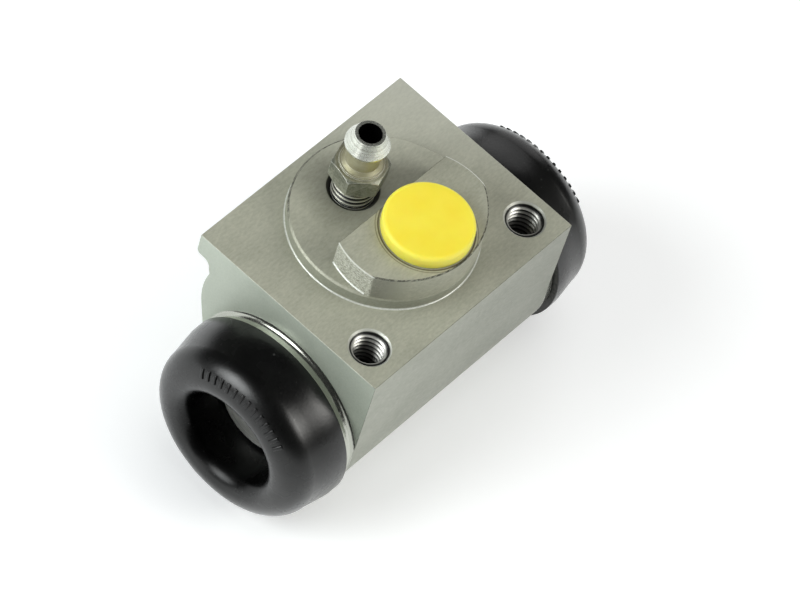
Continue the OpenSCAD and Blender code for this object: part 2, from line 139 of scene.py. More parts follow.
def feed(tree, socket, value):
    """Links a socket to a socket, or sets it to a plain value."""
    if isinstance(value, bpy.types.NodeSocket):
        tree.links.new(value, socket)
    else:
        socket.default_value = value


def node(tree, kind, inputs=None, **settings):
    """One node with its settings made and its inputs fed, by name or by number."""
    made = tree.nodes.new(kind)
    for key, value in settings.items():
        setattr(made, key, value)
    for key, value in (inputs or {}).items():
        feed(tree, made.inputs[key], value)
    return made


def calc(tree, operation, *values):
    """Output of one Math node."""
    return node(tree, "ShaderNodeMath", dict(enumerate(values)), operation=operation).outputs[0]


def vector_calc(tree, operation, *values):
    """Output of one Vector Math node."""
    return node(tree, "ShaderNodeVectorMath", dict(enumerate(values)), operation=operation).outputs[0]


def scaled(tree, vector, factor):
    """A vector times one number."""
    return node(tree, "ShaderNodeVectorMath", {0: vector, "Scale": factor}, operation="SCALE").outputs[0]


def ramp(tree, value, low, high, to_low=0.0, to_high=1.0):
    """A value taken from one range to another, with its ends held."""
    return node(tree, "ShaderNodeMapRange", {0: value, 1: low, 2: high, 3: to_low, 4: to_high}).outputs[0]


def tint(tree, factor, low, high):
    """Mix of two colours."""
    made = node(tree, "ShaderNodeMix", {"Factor": factor}, data_type="RGBA")
    feed(tree, made.inputs[6], low)
    feed(tree, made.inputs[7], high)
    return made.outputs[2]


def noise(tree, vector, scale, detail=2.0, rough=0.5):
    """Value of a noise texture."""
    return node(
        tree, "ShaderNodeTexNoise",
        {"Vector": vector, "Scale": scale, "Detail": detail, "Roughness": rough},
    ).outputs[0]


def line_noise(tree, place, scale, detail=3.0):
    """Noise along one number, for tool marks."""
    return node(
        tree, "ShaderNodeTexNoise",
        {"W": place, "Scale": scale, "Detail": detail, "Roughness": 0.65},
        noise_dimensions="1D",
    ).outputs[0]


def shader_group(name, inputs, outputs):
    """Empty shader group with named sockets: returns the tree, its inputs and its outputs node."""
    tree = bpy.data.node_groups.new(name, "ShaderNodeTree")
    for label, kind, value in inputs:
        socket = tree.interface.new_socket(label, in_out="INPUT", socket_type=kind)
        if value is not None:
            socket.default_value = value
    for label, kind in outputs:
        tree.interface.new_socket(label, in_out="OUTPUT", socket_type=kind)
    return tree, node(tree, "NodeGroupInput").outputs, node(tree, "NodeGroupOutput")


def place_group(tree, group, inputs):
    """Outputs of a shader group placed in a material."""
    return node(tree, "ShaderNodeGroup", inputs, node_tree=group).outputs


FLOAT, VECTOR = "NodeSocketFloat", "NodeSocketVector"


def make_grain_group():
    """Fine grain and broad mottling of a metal face; places in millimetres."""
    tree, given, out = shader_group(
        "metal_grain",
        [("Place", VECTOR, None), ("Fine scale", FLOAT, 1.4), ("Mottle scale", FLOAT, 0.16)],
        [("Fine", FLOAT), ("Mottle", FLOAT)],
    )
    fine = noise(tree, given["Place"], given["Fine scale"], 4.0, 0.62)
    mottle = noise(tree, given["Place"], given["Mottle scale"], 3.0, 0.55)
    feed(tree, out.inputs["Fine"], fine)
    feed(tree, out.inputs["Mottle"], mottle)
    return tree


def make_edge_group():
    """Edges as they look when broken by a file: a rounded normal, and a mask along them that the finishes use
    to paint highlights and shade on edges.
    """
    tree, given, out = shader_group(
        "broken_edge",
        [("Radius", FLOAT, 0.0002)],
        [("Mask", FLOAT), ("Normal", VECTOR)],
    )
    rounded = node(tree, "ShaderNodeBevel", {"Radius": given["Radius"]}, samples=6).outputs[0]
    flat = node(tree, "ShaderNodeNewGeometry").outputs["Normal"]
    turn = node(
        tree, "ShaderNodeVectorMath", {0: rounded, 1: flat}, operation="DOT_PRODUCT"
    ).outputs["Value"]
    feed(tree, out.inputs["Mask"], ramp(tree, turn, 0.995, 0.80))
    feed(tree, out.inputs["Normal"], rounded)
    return tree


def make_speck_group():
    """Scattered specks of dust: a mask of small round spots."""
    tree, given, out = shader_group(
        "dust_specks",
        [("Place", VECTOR, None), ("Scale", FLOAT, 0.5), ("Size", FLOAT, 0.12), ("Share", FLOAT, 0.3)],
        [("Mask", FLOAT)],
    )
    cells = node(tree, "ShaderNodeTexVoronoi", {"Vector": given["Place"], "Scale": given["Scale"]})
    pick = node(tree, "ShaderNodeSeparateColor", {0: cells.outputs["Color"]}).outputs[0]
    chosen = calc(tree, "LESS_THAN", pick, given["Share"])
    reach = calc(tree, "DIVIDE", cells.outputs["Distance"], given["Size"])
    spot = ramp(tree, reach, 1.0, 0.4)
    feed(tree, out.inputs["Mask"], calc(tree, "MULTIPLY", spot, chosen))
    return tree


GRAIN = make_grain_group()
EDGE = make_edge_group()
SPECKS = make_speck_group()


# Finishes


def new_finish(name):
    """Material with a bare Principled shader: gives it, its tree, the shader and the place in mm."""
    finish = bpy.data.materials.new(name)
    finish.use_nodes = True
    tree = finish.node_tree
    tree.nodes.clear()
    shader = node(tree, "ShaderNodeBsdfPrincipled")
    output = node(tree, "ShaderNodeOutputMaterial")
    tree.links.new(shader.outputs[0], output.inputs["Surface"])
    place = scaled(tree, node(tree, "ShaderNodeTexCoord").outputs["Object"], 1000.0)
    return finish, tree, shader, place


def bump(tree, height, strength, depth, normal=None):
    """Normal of a Bump node; depth in millimetres."""
    inputs = {"Height": height, "Strength": strength, "Distance": depth * MM}
    if normal is not None:
        inputs["Normal"] = normal
    return node(tree, "ShaderNodeBump", inputs).outputs[0]


def times(tree, first, *others):
    """Product of several values."""
    for other in others:
        first = calc(tree, "MULTIPLY", first, other)
    return first


def band(tree, value, middle, reach, soft):
    """Mask of the values within reach of a middle, with a soft border."""
    off = calc(tree, "ABSOLUTE", calc(tree, "SUBTRACT", value, middle))
    return ramp(tree, off, reach + soft, reach)


def length2(tree, a, b):
    """Distance from two offsets at right angles."""
    return calc(tree, "SQRT", calc(tree, "ADD", times(tree, a, a), times(tree, b, b)))


def from_axis(tree, a, b, axis):
    """Distance of two coordinates from an axis."""
    return length2(tree, calc(tree, "SUBTRACT", a, axis[0]), calc(tree, "SUBTRACT", b, axis[1]))


def coordinates(tree, place):
    """The x, y and z of a place."""
    return node(tree, "ShaderNodeSeparateXYZ", {0: place}).outputs


def either(tree, first, *others):
    """Strongest of several masks."""
    for other in others:
        first = calc(tree, "MAXIMUM", first, other)
    return first


def outside(tree, mask):
    """Mask of all that another mask leaves out."""
    return calc(tree, "SUBTRACT", 1.0, mask)


def body_cuts(tree, place):
    """Masks of the body's cut faces, holes and marks, by name; several of them place painted shade, shadow and
    highlight.
    """
    x, y, z = coordinates(tree, place)
    along = calc(tree, "ABSOLUTE", x)
    hole_r = from_axis(tree, along, y, HOLE_AXIS)
    screw_r = from_axis(tree, x, y, BLEED_AXIS)
    plug_r = from_axis(tree, x, y, PORT_AXIS)
    end_r = from_axis(tree, x, y, BOSS_END_AXIS)
    spigot_r = length2(tree, x, y)
    hole_wall = band(tree, z, -7.4, 6.9, 0.3)
    countersink = band(tree, hole_r, HOLE_R + 0.35, 0.25, 0.05)
    raised_wall = band(tree, z, (SPIGOT_H + BOSS_H) / 2, (BOSS_H - SPIGOT_H) / 2 - 0.1, 0.05)
    sawn = times(tree, band(tree, end_r, BOSS_END_R, 0.04, 0.08), raised_wall)
    # Inner ring: a painted contact shadow under the plug's head; outer ring: the flange's pressed witness
    # ring.
    plug_shadow_and_witness_rings = either(
        tree,
        band(tree, plug_r, 7.42, 0.10, 0.06),
        times(tree, band(tree, plug_r, 7.85, 0.04, 0.08), 0.6),
    )
    return {
        "milled": ramp(tree, z, -0.05, -0.02),
        "turned": calc(tree, "GREATER_THAN", along, END_FACE + 0.02),
        "cut_end": band(tree, along, END_FACE, 0.01, 0.01),
        "painted_shade_in_hole": times(tree, calc(tree, "LESS_THAN", hole_r, HOLE_R + 0.1), hole_wall),
        "countersink": times(tree, countersink, band(tree, z, -0.3, 0.25, 0.05)),
        "sunk": times(tree, ramp(tree, screw_r, 4.25, 4.1), band(tree, z, 0.0, SPIGOT_H - 0.06, 0.04)),
        "painted_screw_shadow": times(tree, ramp(tree, screw_r, 8.8, 4.2), band(tree, z, SPIGOT_H, 0.05, 0.2)),
        "painted_shade_low_wall": times(tree, band(tree, spigot_r, SPIGOT_R, 0.02, 0.03), band(tree, z, 1.1, 0.95, 0.1)),
        "sawn": sawn,
        "painted_shade_wall_front_end": times(tree, raised_wall, ramp(tree, x, -8.5, -12.0), outside(tree, sawn)),
        "pressed": times(tree, plug_shadow_and_witness_rings, ramp(tree, z, BOSS_H - 0.1, BOSS_H - 0.02)),
    }


def body_edges(tree, place, fine, edge_mask):
    """Masks of the body's edges painted bright, a painted highlight, and of those painted dark, painted shade.
    """
    x, y, z = coordinates(tree, place)
    along = calc(tree, "ABSOLUTE", x)
    end_r = from_axis(tree, x, y, BOSS_END_AXIS)
    spigot_r = length2(tree, x, y)

    end_edge = times(tree, band(tree, along, END_FACE, 0.2, 0.1), ramp(tree, z, -0.9, -0.3))
    sawn_top_edge = band(tree, end_r, BOSS_END_R, 0.12, 0.05)
    sawn_top_edge = times(tree, sawn_top_edge, ramp(tree, z, BOSS_H - 0.22, BOSS_H - 0.17))
    # Painted highlight: bright lines along the end faces' top edges and the sawn walls' top edges.
    painted_edge_highlight = either(tree, times(tree, edge_mask, end_edge), sawn_top_edge)

    far_side = times(tree, ramp(tree, calc(tree, "SUBTRACT", y, x), 4.0, 8.0), ramp(tree, y, 7.5, 11.0))
    spigot_edge = band(tree, spigot_r, SPIGOT_R - 0.15, 0.16, 0.04)
    spigot_edge = times(tree, spigot_edge, band(tree, z, SPIGOT_H - 0.15, 0.16, 0.04))
    spigot_edge = times(tree, spigot_edge, far_side, ramp(tree, fine, 0.38, 0.56, 0.4, 1.0))
    raised_edge = band(tree, spigot_r, SPIGOT_R - 0.26, 0.11, 0.05)
    raised_edge = times(tree, raised_edge, ramp(tree, z, BOSS_H - 0.18, BOSS_H - 0.14))
    raised_edge = times(tree, raised_edge, ramp(tree, fine, 0.38, 0.56, 0.2, 1.0), outside(tree, sawn_top_edge))
    dull_place = either(tree, ramp(tree, z, BOSS_H - 0.5, BOSS_H - 0.3), ramp(tree, y, -18.4, -18.7))
    # Painted shade: dark lines along the raised half's top edges, the right face's top edge and the spigot's
    # rims.
    painted_edge_shade = either(tree, times(tree, edge_mask, dull_place, outside(tree, sawn_top_edge)), spigot_edge, raised_edge)
    return painted_edge_highlight, painted_edge_shade


def body_ground(tree, place, shade, cuts):
    """Colour of the body's bare faces: drawn sides, sawn ends and milled top, each with painted shade or light
    by place.
    """
    x, y, z = coordinates(tree, place)
    side = tint(tree, shade, (0.355, 0.368, 0.312, 1), (0.445, 0.458, 0.398, 1))
    # Painted shade: the sides painted darker toward +X.
    side = tint(tree, ramp(tree, x, -12.0, 22.0, 0.0, 0.3), side, (0.16, 0.165, 0.14, 1))
    sawn_end = tint(tree, shade, (0.345, 0.385, 0.315, 1), (0.425, 0.465, 0.390, 1))
    # Painted light: the sawn ends painted paler toward +Y and toward the top.
    paler = either(tree, ramp(tree, y, -4.0, 12.0, 0.0, 0.4), ramp(tree, z, -9.0, -1.0, 0.0, 0.22))
    sawn_end = tint(tree, paler, sawn_end, (0.66, 0.71, 0.62, 1))
    top = tint(tree, shade, (0.370, 0.375, 0.297, 1), (0.490, 0.495, 0.398, 1))
    # Painted sheen: the milled top painted paler toward its back corner, +X and +Y.
    corner = ramp(tree, calc(tree, "ADD", x, y), 12.0, 38.0, 0.0, 0.5)
    top = tint(tree, corner, top, (0.66, 0.67, 0.60, 1))
    return tint(tree, cuts["milled"], tint(tree, cuts["cut_end"], side, sawn_end), top)


def make_alloy():
    """Body: drawn and sawn sides, milled top and spigot, turned ends, rough walls on the raised half, with
    painted shade, shadows and highlights laid over them.
    """
    finish, tree, shader, place = new_finish("milled_alloy")
    x, y, z = coordinates(tree, place)
    stretch = vector_calc(tree, "MULTIPLY", place, (0.55, 1.3, 1.3))
    grain = place_group(tree, GRAIN, {"Place": stretch, "Fine scale": 2.1, "Mottle scale": 0.17})
    edge = place_group(tree, EDGE, {"Radius": 0.16 * MM})
    fine, mottle = grain["Fine"], grain["Mottle"]
    bore_r = from_axis(tree, y, z, BORE_AXIS)
    rings = line_noise(tree, calc(tree, "ADD", bore_r, calc(tree, "ABSOLUTE", x)), 5.0)
    coarse = noise(tree, vector_calc(tree, "MULTIPLY", place, (1.0, 0.45, 1.2)), 5.5, 3.0, 0.7)
    cuts = body_cuts(tree, place)
    painted_edge_highlight, painted_edge_shade = body_edges(tree, place, fine, edge["Mask"])
    milled, turned, sawn = cuts["milled"], cuts["turned"], cuts["sawn"]

    shade = calc(tree, "ADD", times(tree, fine, 0.55), times(tree, mottle, 0.45))
    colour = body_ground(tree, place, ramp(tree, shade, 0.36, 0.64), cuts)
    turned_ring = tint(tree, rings, (0.38, 0.39, 0.34, 1), (0.66, 0.67, 0.61, 1))
    marks = (
        # Painted shade: the walls of the tapped holes painted near black.
        (cuts["painted_shade_in_hole"], (0.02, 0.02, 0.02, 1)),
        # Painted highlight: the countersinks of the tapped holes painted pale.
        (times(tree, cuts["countersink"], 0.7), (0.70, 0.71, 0.64, 1)),
        # Painted shade: the countersink round the bleed screw painted near black.
        (times(tree, cuts["sunk"], 0.9), (0.02, 0.02, 0.018, 1)),
        # Painted shadow: the low face painted darker round the bleed screw.
        (times(tree, cuts["painted_screw_shadow"], 0.48), (0.15, 0.15, 0.11, 1)),
        # Painted shade: the spigot's low wall painted darker.
        (times(tree, cuts["painted_shade_low_wall"], 0.35), (0.22, 0.24, 0.20, 1)),
        # Rings round the plug: a painted contact shadow and a pressed witness ring.
        (times(tree, cuts["pressed"], ramp(tree, mottle, 0.3, 0.7, 0.7, 0.95)), (0.07, 0.055, 0.03, 1)),
        (times(tree, turned, 0.9), turned_ring),
        (times(tree, sawn, ramp(tree, coarse, 0.46, 0.62)), (0.68, 0.69, 0.62, 1)),
        (times(tree, sawn, ramp(tree, coarse, 0.46, 0.34)), (0.16, 0.16, 0.13, 1)),
        # Painted shade: the raised half's walls painted darker toward the front end.
        (times(tree, cuts["painted_shade_wall_front_end"], ramp(tree, fine, 0.3, 0.6, 0.25, 0.6)), (0.12, 0.12, 0.10, 1)),
        # Painted highlight on the body's edges.
        (times(tree, painted_edge_highlight, 0.8), (0.84, 0.86, 0.80, 1)),
        # Painted shade along the body's edges.
        (times(tree, painted_edge_shade, 0.85), (0.05, 0.05, 0.04, 1)),
    )
    for mask, paint in marks:
        colour = tint(tree, mask, colour, paint)
    feed(tree, shader.inputs["Base Color"], colour)

    flat_cut = either(tree, milled, cuts["cut_end"], cuts["countersink"])
    metal = calc(tree, "SUBTRACT", 0.80, times(tree, flat_cut, 0.45))
    feed(tree, shader.inputs["Metallic"], calc(tree, "ADD", metal, times(tree, turned, 0.15)))
    rough = ramp(tree, fine, 0.3, 0.7, 0.50, 0.40)
    rough = calc(tree, "ADD", rough, times(tree, milled, 0.12))
    rough = calc(tree, "ADD", rough, times(tree, painted_edge_shade, 0.4))
    feed(tree, shader.inputs["Roughness"], calc(tree, "SUBTRACT", rough, times(tree, turned, 0.25)))
    height = calc(tree, "ADD", times(tree, fine, 0.5), times(tree, turned, rings, 0.4))
    height = calc(tree, "ADD", height, times(tree, sawn, coarse, 1.5))
    feed(tree, shader.inputs["Normal"], bump(tree, height, 0.5, 0.05, edge["Normal"]))
    return finish


def make_bright_alloy():
    """Fillets painted paler than the body: a painted highlight for the bright line they show."""
    finish, tree, shader, place = new_finish("bright_alloy")
    grain = place_group(tree, GRAIN, {"Place": place, "Fine scale": 2.4, "Mottle scale": 0.3})
    shade = ramp(tree, grain["Fine"], 0.35, 0.65)
    feed(tree, shader.inputs["Base Color"], tint(tree, shade, (0.66, 0.68, 0.62, 1), (0.82, 0.84, 0.78, 1)))
    shader.inputs["Metallic"].default_value = 0.35
    feed(tree, shader.inputs["Roughness"], ramp(tree, grain["Mottle"], 0.3, 0.7, 0.28, 0.40))
    feed(tree, shader.inputs["Normal"], bump(tree, grain["Fine"], 0.3, 0.03))
    return finish


def make_cut_thread():
    """Cut thread: bright tips over near-black flanks, darker down the hole; the bright tips are painted
    highlight, the flanks and the depth painted shade.
    """
    finish, tree, shader, place = new_finish("cut_thread")
    x, y, z = coordinates(tree, place)
    hole_r = from_axis(tree, calc(tree, "ABSOLUTE", x), y, HOLE_AXIS)
    grain = place_group(tree, GRAIN, {"Place": place, "Fine scale": 3.0, "Mottle scale": 0.5})
    # Painted highlight on the ridges' tips, fading to painted shade with depth.
    painted_crest_highlight = times(tree, ramp(tree, hole_r, 2.84, 2.60), ramp(tree, z, -6.5, -2.0, 0.08, 1.0))
    bright = tint(tree, grain["Fine"], (0.58, 0.58, 0.53, 1), (0.86, 0.86, 0.81, 1))
    feed(tree, shader.inputs["Base Color"], tint(tree, painted_crest_highlight, (0.025, 0.025, 0.024, 1), bright))
    shader.inputs["Metallic"].default_value = 0.6
    feed(tree, shader.inputs["Roughness"], ramp(tree, grain["Mottle"], 0.3, 0.7, 0.26, 0.38))
    feed(tree, shader.inputs["Normal"], bump(tree, grain["Fine"], 0.3, 0.03))
    return finish


def make_steel(name, dark, light, rough, ring_scale):
    """Steel turned or drawn about the bore: fine rings over a grain."""
    finish, tree, shader, place = new_finish(name)
    x, y, z = coordinates(tree, place)
    bore_r = from_axis(tree, y, z, BORE_AXIS)
    rings = line_noise(tree, calc(tree, "ADD", bore_r, calc(tree, "ABSOLUTE", x)), ring_scale)
    grain = place_group(tree, GRAIN, {"Place": place, "Fine scale": 2.6, "Mottle scale": 0.3})
    shade = ramp(tree, calc(tree, "ADD", rings, grain["Mottle"]), 0.75, 1.25)
    feed(tree, shader.inputs["Base Color"], tint(tree, shade, dark, light))
    shader.inputs["Metallic"].default_value = 0.95
    feed(tree, shader.inputs["Roughness"], ramp(tree, grain["Fine"], 0.3, 0.7, rough + 0.06, rough - 0.04))
    edge = place_group(tree, EDGE, {"Radius": 0.15 * MM})
    feed(tree, shader.inputs["Normal"], bump(tree, rings, 0.35, 0.03, edge["Normal"]))
    return finish


def make_zinc():
    """Bleed screw: zinc, white on the nipple, yellow on its neck, dim on the hexagon; painted shade inside the
    nipple and in the thread's roots, painted highlights on its edges and thread tips.
    """
    finish, tree, shader, place = new_finish("yellow_zinc")
    x, y, z = coordinates(tree, place)
    screw_r = from_axis(tree, x, y, BLEED_AXIS)
    rings = line_noise(tree, calc(tree, "ADD", screw_r, z), 4.5)
    grain = place_group(tree, GRAIN, {"Place": place, "Fine scale": 2.2, "Mottle scale": 0.35})
    edge = place_group(tree, EDGE, {"Radius": 0.18 * MM})
    tip = ramp(tree, z, NIPPLE_FOOT - 0.1, NIPPLE_FOOT + 0.3)
    neck = band(tree, z, (HEX_TOP + NIPPLE_FOOT) / 2, (NIPPLE_FOOT - HEX_TOP) / 2 - 0.1, 0.2)
    painted_shade_mouth = times(tree, calc(tree, "LESS_THAN", screw_r, MOUTH_R), ramp(tree, z, HEX_TOP - 0.5, HEX_TOP))
    mottle = ramp(tree, grain["Mottle"], 0.35, 0.65)
    shank = ramp(tree, z, HEX_BOTTOM - 0.02, HEX_BOTTOM - 0.08)
    blotch = ramp(tree, calc(tree, "ADD", grain["Mottle"], grain["Fine"]), 0.75, 1.2)
    colour = tint(tree, blotch, (0.11, 0.12, 0.092, 1), (0.35, 0.36, 0.29, 1))
    colour = tint(tree, neck, colour, tint(tree, mottle, (0.32, 0.30, 0.18, 1), (0.47, 0.45, 0.31, 1)))
    colour = tint(tree, tip, colour, tint(tree, mottle, (0.60, 0.625, 0.55, 1), (0.78, 0.80, 0.73, 1)))
    colour = tint(tree, times(tree, ramp(tree, rings, 0.45, 0.7), 0.5), colour, (0.26, 0.26, 0.19, 1))
    # Painted highlight on the thread's tips, painted shade in its roots.
    painted_crest_highlight = ramp(tree, screw_r, 3.28, 3.45)
    colour = tint(tree, shank, colour, tint(tree, painted_crest_highlight, (0.012, 0.012, 0.011, 1), (0.60, 0.60, 0.50, 1)))
    # Painted highlight along the screw's edges.
    colour = tint(tree, times(tree, edge["Mask"], 0.75), colour, (0.86, 0.87, 0.80, 1))
    # Painted shade: the nipple's bore painted near black.
    colour = tint(tree, times(tree, painted_shade_mouth, 0.98), colour, (0.004, 0.004, 0.004, 1))
    feed(tree, shader.inputs["Base Color"], colour)
    feed(tree, shader.inputs["Metallic"], ramp(tree, tip, 0.0, 1.0, 0.55, 0.92))
    rough = ramp(tree, grain["Fine"], 0.3, 0.7, 0.46, 0.34)
    rough = calc(tree, "ADD", rough, times(tree, neck, 0.14))
    feed(tree, shader.inputs["Roughness"], calc(tree, "SUBTRACT", rough, times(tree, tip, 0.14)))
    smooth = node(tree, "ShaderNodeNewGeometry").outputs["Normal"]
    lean = node(
        tree, "ShaderNodeMix", {"Factor": tip, 4: edge["Normal"], 5: smooth}, data_type="VECTOR"
    ).outputs[1]
    feed(tree, shader.inputs["Normal"], bump(tree, rings, 0.2, 0.03, lean))
    return finish


def make_rubber(name, dust, rough):
    """Moulded black rubber: faint bloom, a few specks of dust, and a soft gloss that fades toward the bore."""
    finish, tree, shader, place = new_finish(name)
    x, y, z = coordinates(tree, place)
    bore_r = from_axis(tree, y, z, BORE_AXIS)
    bloom = noise(tree, place, 0.22, 3.0, 0.55)
    skin = noise(tree, place, 2.4, 3.0, 0.6)
    large = place_group(tree, SPECKS, {"Place": place, "Scale": 0.45, "Size": 0.10, "Share": dust})
    small = place_group(tree, SPECKS, {"Place": place, "Scale": 1.1, "Size": 0.12, "Share": dust * 0.6})
    spots = either(tree, large["Mask"], small["Mask"])
    clean, bloomed = (0.0012, 0.0012, 0.0012, 1), (0.0040, 0.0042, 0.0040, 1)
    colour = tint(tree, ramp(tree, bloom, 0.35, 0.70), clean, bloomed)
    colour = tint(tree, times(tree, spots, 0.25), colour, (0.16, 0.17, 0.16, 1))
    feed(tree, shader.inputs["Base Color"], colour)
    shader.inputs["Specular IOR Level"].default_value = 0.15
    shader.inputs["Coat Roughness"].default_value = 0.30
    feed(tree, shader.inputs["Roughness"], ramp(tree, bloom, 0.3, 0.7, rough - 0.03, rough + 0.06))
    polish = times(tree, ramp(tree, bore_r, 8.3, 9.8), ramp(tree, bloom, 0.3, 0.7, 0.82, 0.62))
    feed(tree, shader.inputs["Coat Weight"], polish)
    height = calc(tree, "ADD", skin, times(tree, spots, 0.8))
    feed(tree, shader.inputs["Normal"], bump(tree, height, 0.22, 0.05))
    feed(tree, shader.inputs["Coat Normal"], bump(tree, skin, 0.22, 0.05))
    return finish


def make_plug_plastic():
    """Soft yellow plastic: a faint flow pattern, a paler rim that is a painted highlight, and a fine moulded
    skin.
    """
    finish, tree, shader, place = new_finish("yellow_plastic")
    x, y, z = coordinates(tree, place)
    plug_r = from_axis(tree, x, y, PORT_AXIS)
    flow = noise(tree, place, 0.20, 2.0, 0.5)
    skin = noise(tree, place, 3.0, 2.0, 0.6)
    specks = place_group(tree, SPECKS, {"Place": place, "Scale": 0.5, "Size": 0.06, "Share": 0.12})
    colour = tint(tree, ramp(tree, flow, 0.3, 0.7), (0.93, 0.745, 0.048, 1), (0.97, 0.80, 0.070, 1))
    # Painted highlight: the head's rim painted paler.
    colour = tint(tree, ramp(tree, plug_r, 6.4, 7.0, 0.0, 0.75), colour, (1.0, 0.86, 0.12, 1))
    colour = tint(tree, times(tree, specks["Mask"], 0.2), colour, (0.75, 0.62, 0.2, 1))
    feed(tree, shader.inputs["Base Color"], colour)
    feed(tree, shader.inputs["Roughness"], ramp(tree, flow, 0.3, 0.7, 0.46, 0.54))
    shader.inputs["Subsurface Weight"].default_value = 0.5
    shader.inputs["Subsurface Radius"].default_value = (1.0, 0.7, 0.1)
    shader.inputs["Subsurface Scale"].default_value = 2.0 * MM
    edge = place_group(tree, EDGE, {"Radius": 0.20 * MM})
    feed(tree, shader.inputs["Normal"], bump(tree, skin, 0.15, 0.03, edge["Normal"]))
    return finish


ALLOY = make_alloy()
BRIGHT = make_bright_alloy()
CUT_THREAD = make_cut_thread()
PISTON = make_steel("turned_steel", (0.42, 0.43, 0.40, 1), (0.66, 0.67, 0.63, 1), 0.46, 4.0)
PRESSED = make_steel("pressed_steel", (0.40, 0.39, 0.35, 1), (0.52, 0.51, 0.46, 1), 0.34, 1.5)
WIRE = make_steel("spring_wire", (0.25, 0.25, 0.25, 1), (0.42, 0.42, 0.41, 1), 0.30, 6.0)
ZINC = make_zinc()
BOOT_RUBBER = make_rubber("boot_rubber", 0.30, 0.26)
CUP_RUBBER = make_rubber("cup_rubber", 0.04, 0.30)
PLUG_PLASTIC = make_plug_plastic()


def dress(node_name, finish):
    """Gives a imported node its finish."""
    mesh = nodes[node_name].data
    mesh.materials.clear()
    mesh.materials.append(finish)


dress("body", ALLOY)
dress("bleed_screw", ZINC)
dress("port_plug", PLUG_PLASTIC)
for end in ("front", "rear"):
    dress("piston_" + end, PISTON)
    dress("cup_" + end, CUP_RUBBER)
    dress("expander_" + end, PRESSED)


# Pieces turned from an outline


def on_bore(side):
    """Puts what is drawn along +Z on the bore's axis, pointing to the rear (1) or the front (-1)."""
    turn = Matrix(((0, 0, side), (1, 0, 0), (0, side, 0))).to_4x4()
    return Matrix.Translation(BORE * MM) @ turn


def arc(centre, radius, start, end, steps):
    """Points of an arc in an outline, in degrees."""
    angles = [math.radians(start + (end - start) * i / steps) for i in range(steps + 1)]
    return [(centre[0] + radius * math.cos(a), centre[1] + radius * math.sin(a)) for a in angles]


def turned_mesh(name, outline, place, steps=192, start=0.0, sweep=360.0):
    """Mesh of a closed (radius, height) outline turned about Z, then put in place."""
    form = bmesh.new()
    full = sweep >= 360
    count = steps if full else steps + 1
    rings = []
    for i in range(count):
        a = math.radians(start + sweep * i / steps)
        cosine, sine = math.cos(a), math.sin(a)
        points = [(r * cosine * MM, r * sine * MM, h * MM) for r, h in outline]
        rings.append([form.verts.new(point) for point in points])
    for i in range(steps):
        here, there = rings[i], rings[(i + 1) % count]
        for k in range(len(outline)):
            m = (k + 1) % len(outline)
            form.faces.new((here[k], here[m], there[m], there[k]))
    if not full:
        form.faces.new(rings[0])
        form.faces.new(rings[-1])
    bmesh.ops.recalc_face_normals(form, faces=form.faces)
    form.transform(place)
    return plain_mesh(name, form)


def plain_mesh(name, form):
    """Mesh of a bmesh, smooth but for its sharp edges."""
    mesh = bpy.data.meshes.new(name)
    form.to_mesh(mesh)
    form.free()
    mesh.shade_smooth()
    mesh.set_sharp_from_angle(angle=math.radians(32))
    return mesh


def add_piece(name, mesh, finish):
    """Object of a finished mesh at the origin, with its finish."""
    mesh.materials.clear()
    mesh.materials.append(finish)
    piece = bpy.data.objects.new(name, mesh)
    bpy.context.scene.collection.objects.link(piece)
    return piece


def rim_touch():
    """Angle on the rim's round where the straight funnel of the hole runs into it."""
    run = (RIM[0] - HOLE_EDGE[0], RIM[1] - HOLE_EDGE[1])
    lean = math.atan2(run[1], run[0]) + math.asin(RIM_R / math.hypot(*run))
    return math.degrees(lean) + 90


def boot_outlines():
    """Outlines of a boot's outer wall, up to the edge of its hole, and of the tube behind the hole."""
    split = 180 - math.degrees(math.asin((HOLE_EDGE[1] - CAVE[1]) / CAVE_R))
    wall = [(BEAD_R, LIP)]
    wall += arc((LIP_R - LIP_ROUND, LIP + LIP_ROUND), LIP_ROUND, -90, 0, 6)
    wall += FLANK
    wall += arc(FRONT, FRONT_R, 0, 90, 24)
    wall += arc(RIM, RIM_R, 90, rim_touch(), 16)[1:]
    wall += [HOLE_EDGE]
    wall += arc(CAVE, CAVE_R, split, 0, 14)
    wall += BEAD
    tube = [HOLE_EDGE, *TUBE_INSIDE, *TUBE_TIP, *TUBE_OUTSIDE]
    tube += arc(CAVE, CAVE_R, 180, split, 4)
    return wall, tube


def make_boot(end, side):
    """Rubber boot: its wall stretches from the body's groove to the hole, its tube goes with the piston."""
    pieces = []
    for part, outline in zip(("wall", "tube"), boot_outlines()):
        name = f"boot_{end}_{part}"
        mesh = turned_mesh(name, outline, on_bore(side))
        pieces.append(add_piece(name, mesh, BOOT_RUBBER))
    wall, tube = pieces
    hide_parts(f"boot_{end}")
    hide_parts(f"boot_{end}")
    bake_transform(wall)
    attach(tube, f"{end}_piston")


def cove(foot_r, level, radius):
    """Outline of a small hollow fillet between a wall at foot_r and a face at level."""
    corner = (foot_r + radius, level + radius)
    sunk = 0.02
    outline = [(foot_r - sunk, level - sunk), (foot_r + radius, level - sunk)]
    return outline + arc(corner, radius, 270, 180, 5) + [(foot_r - sunk, level + radius)]


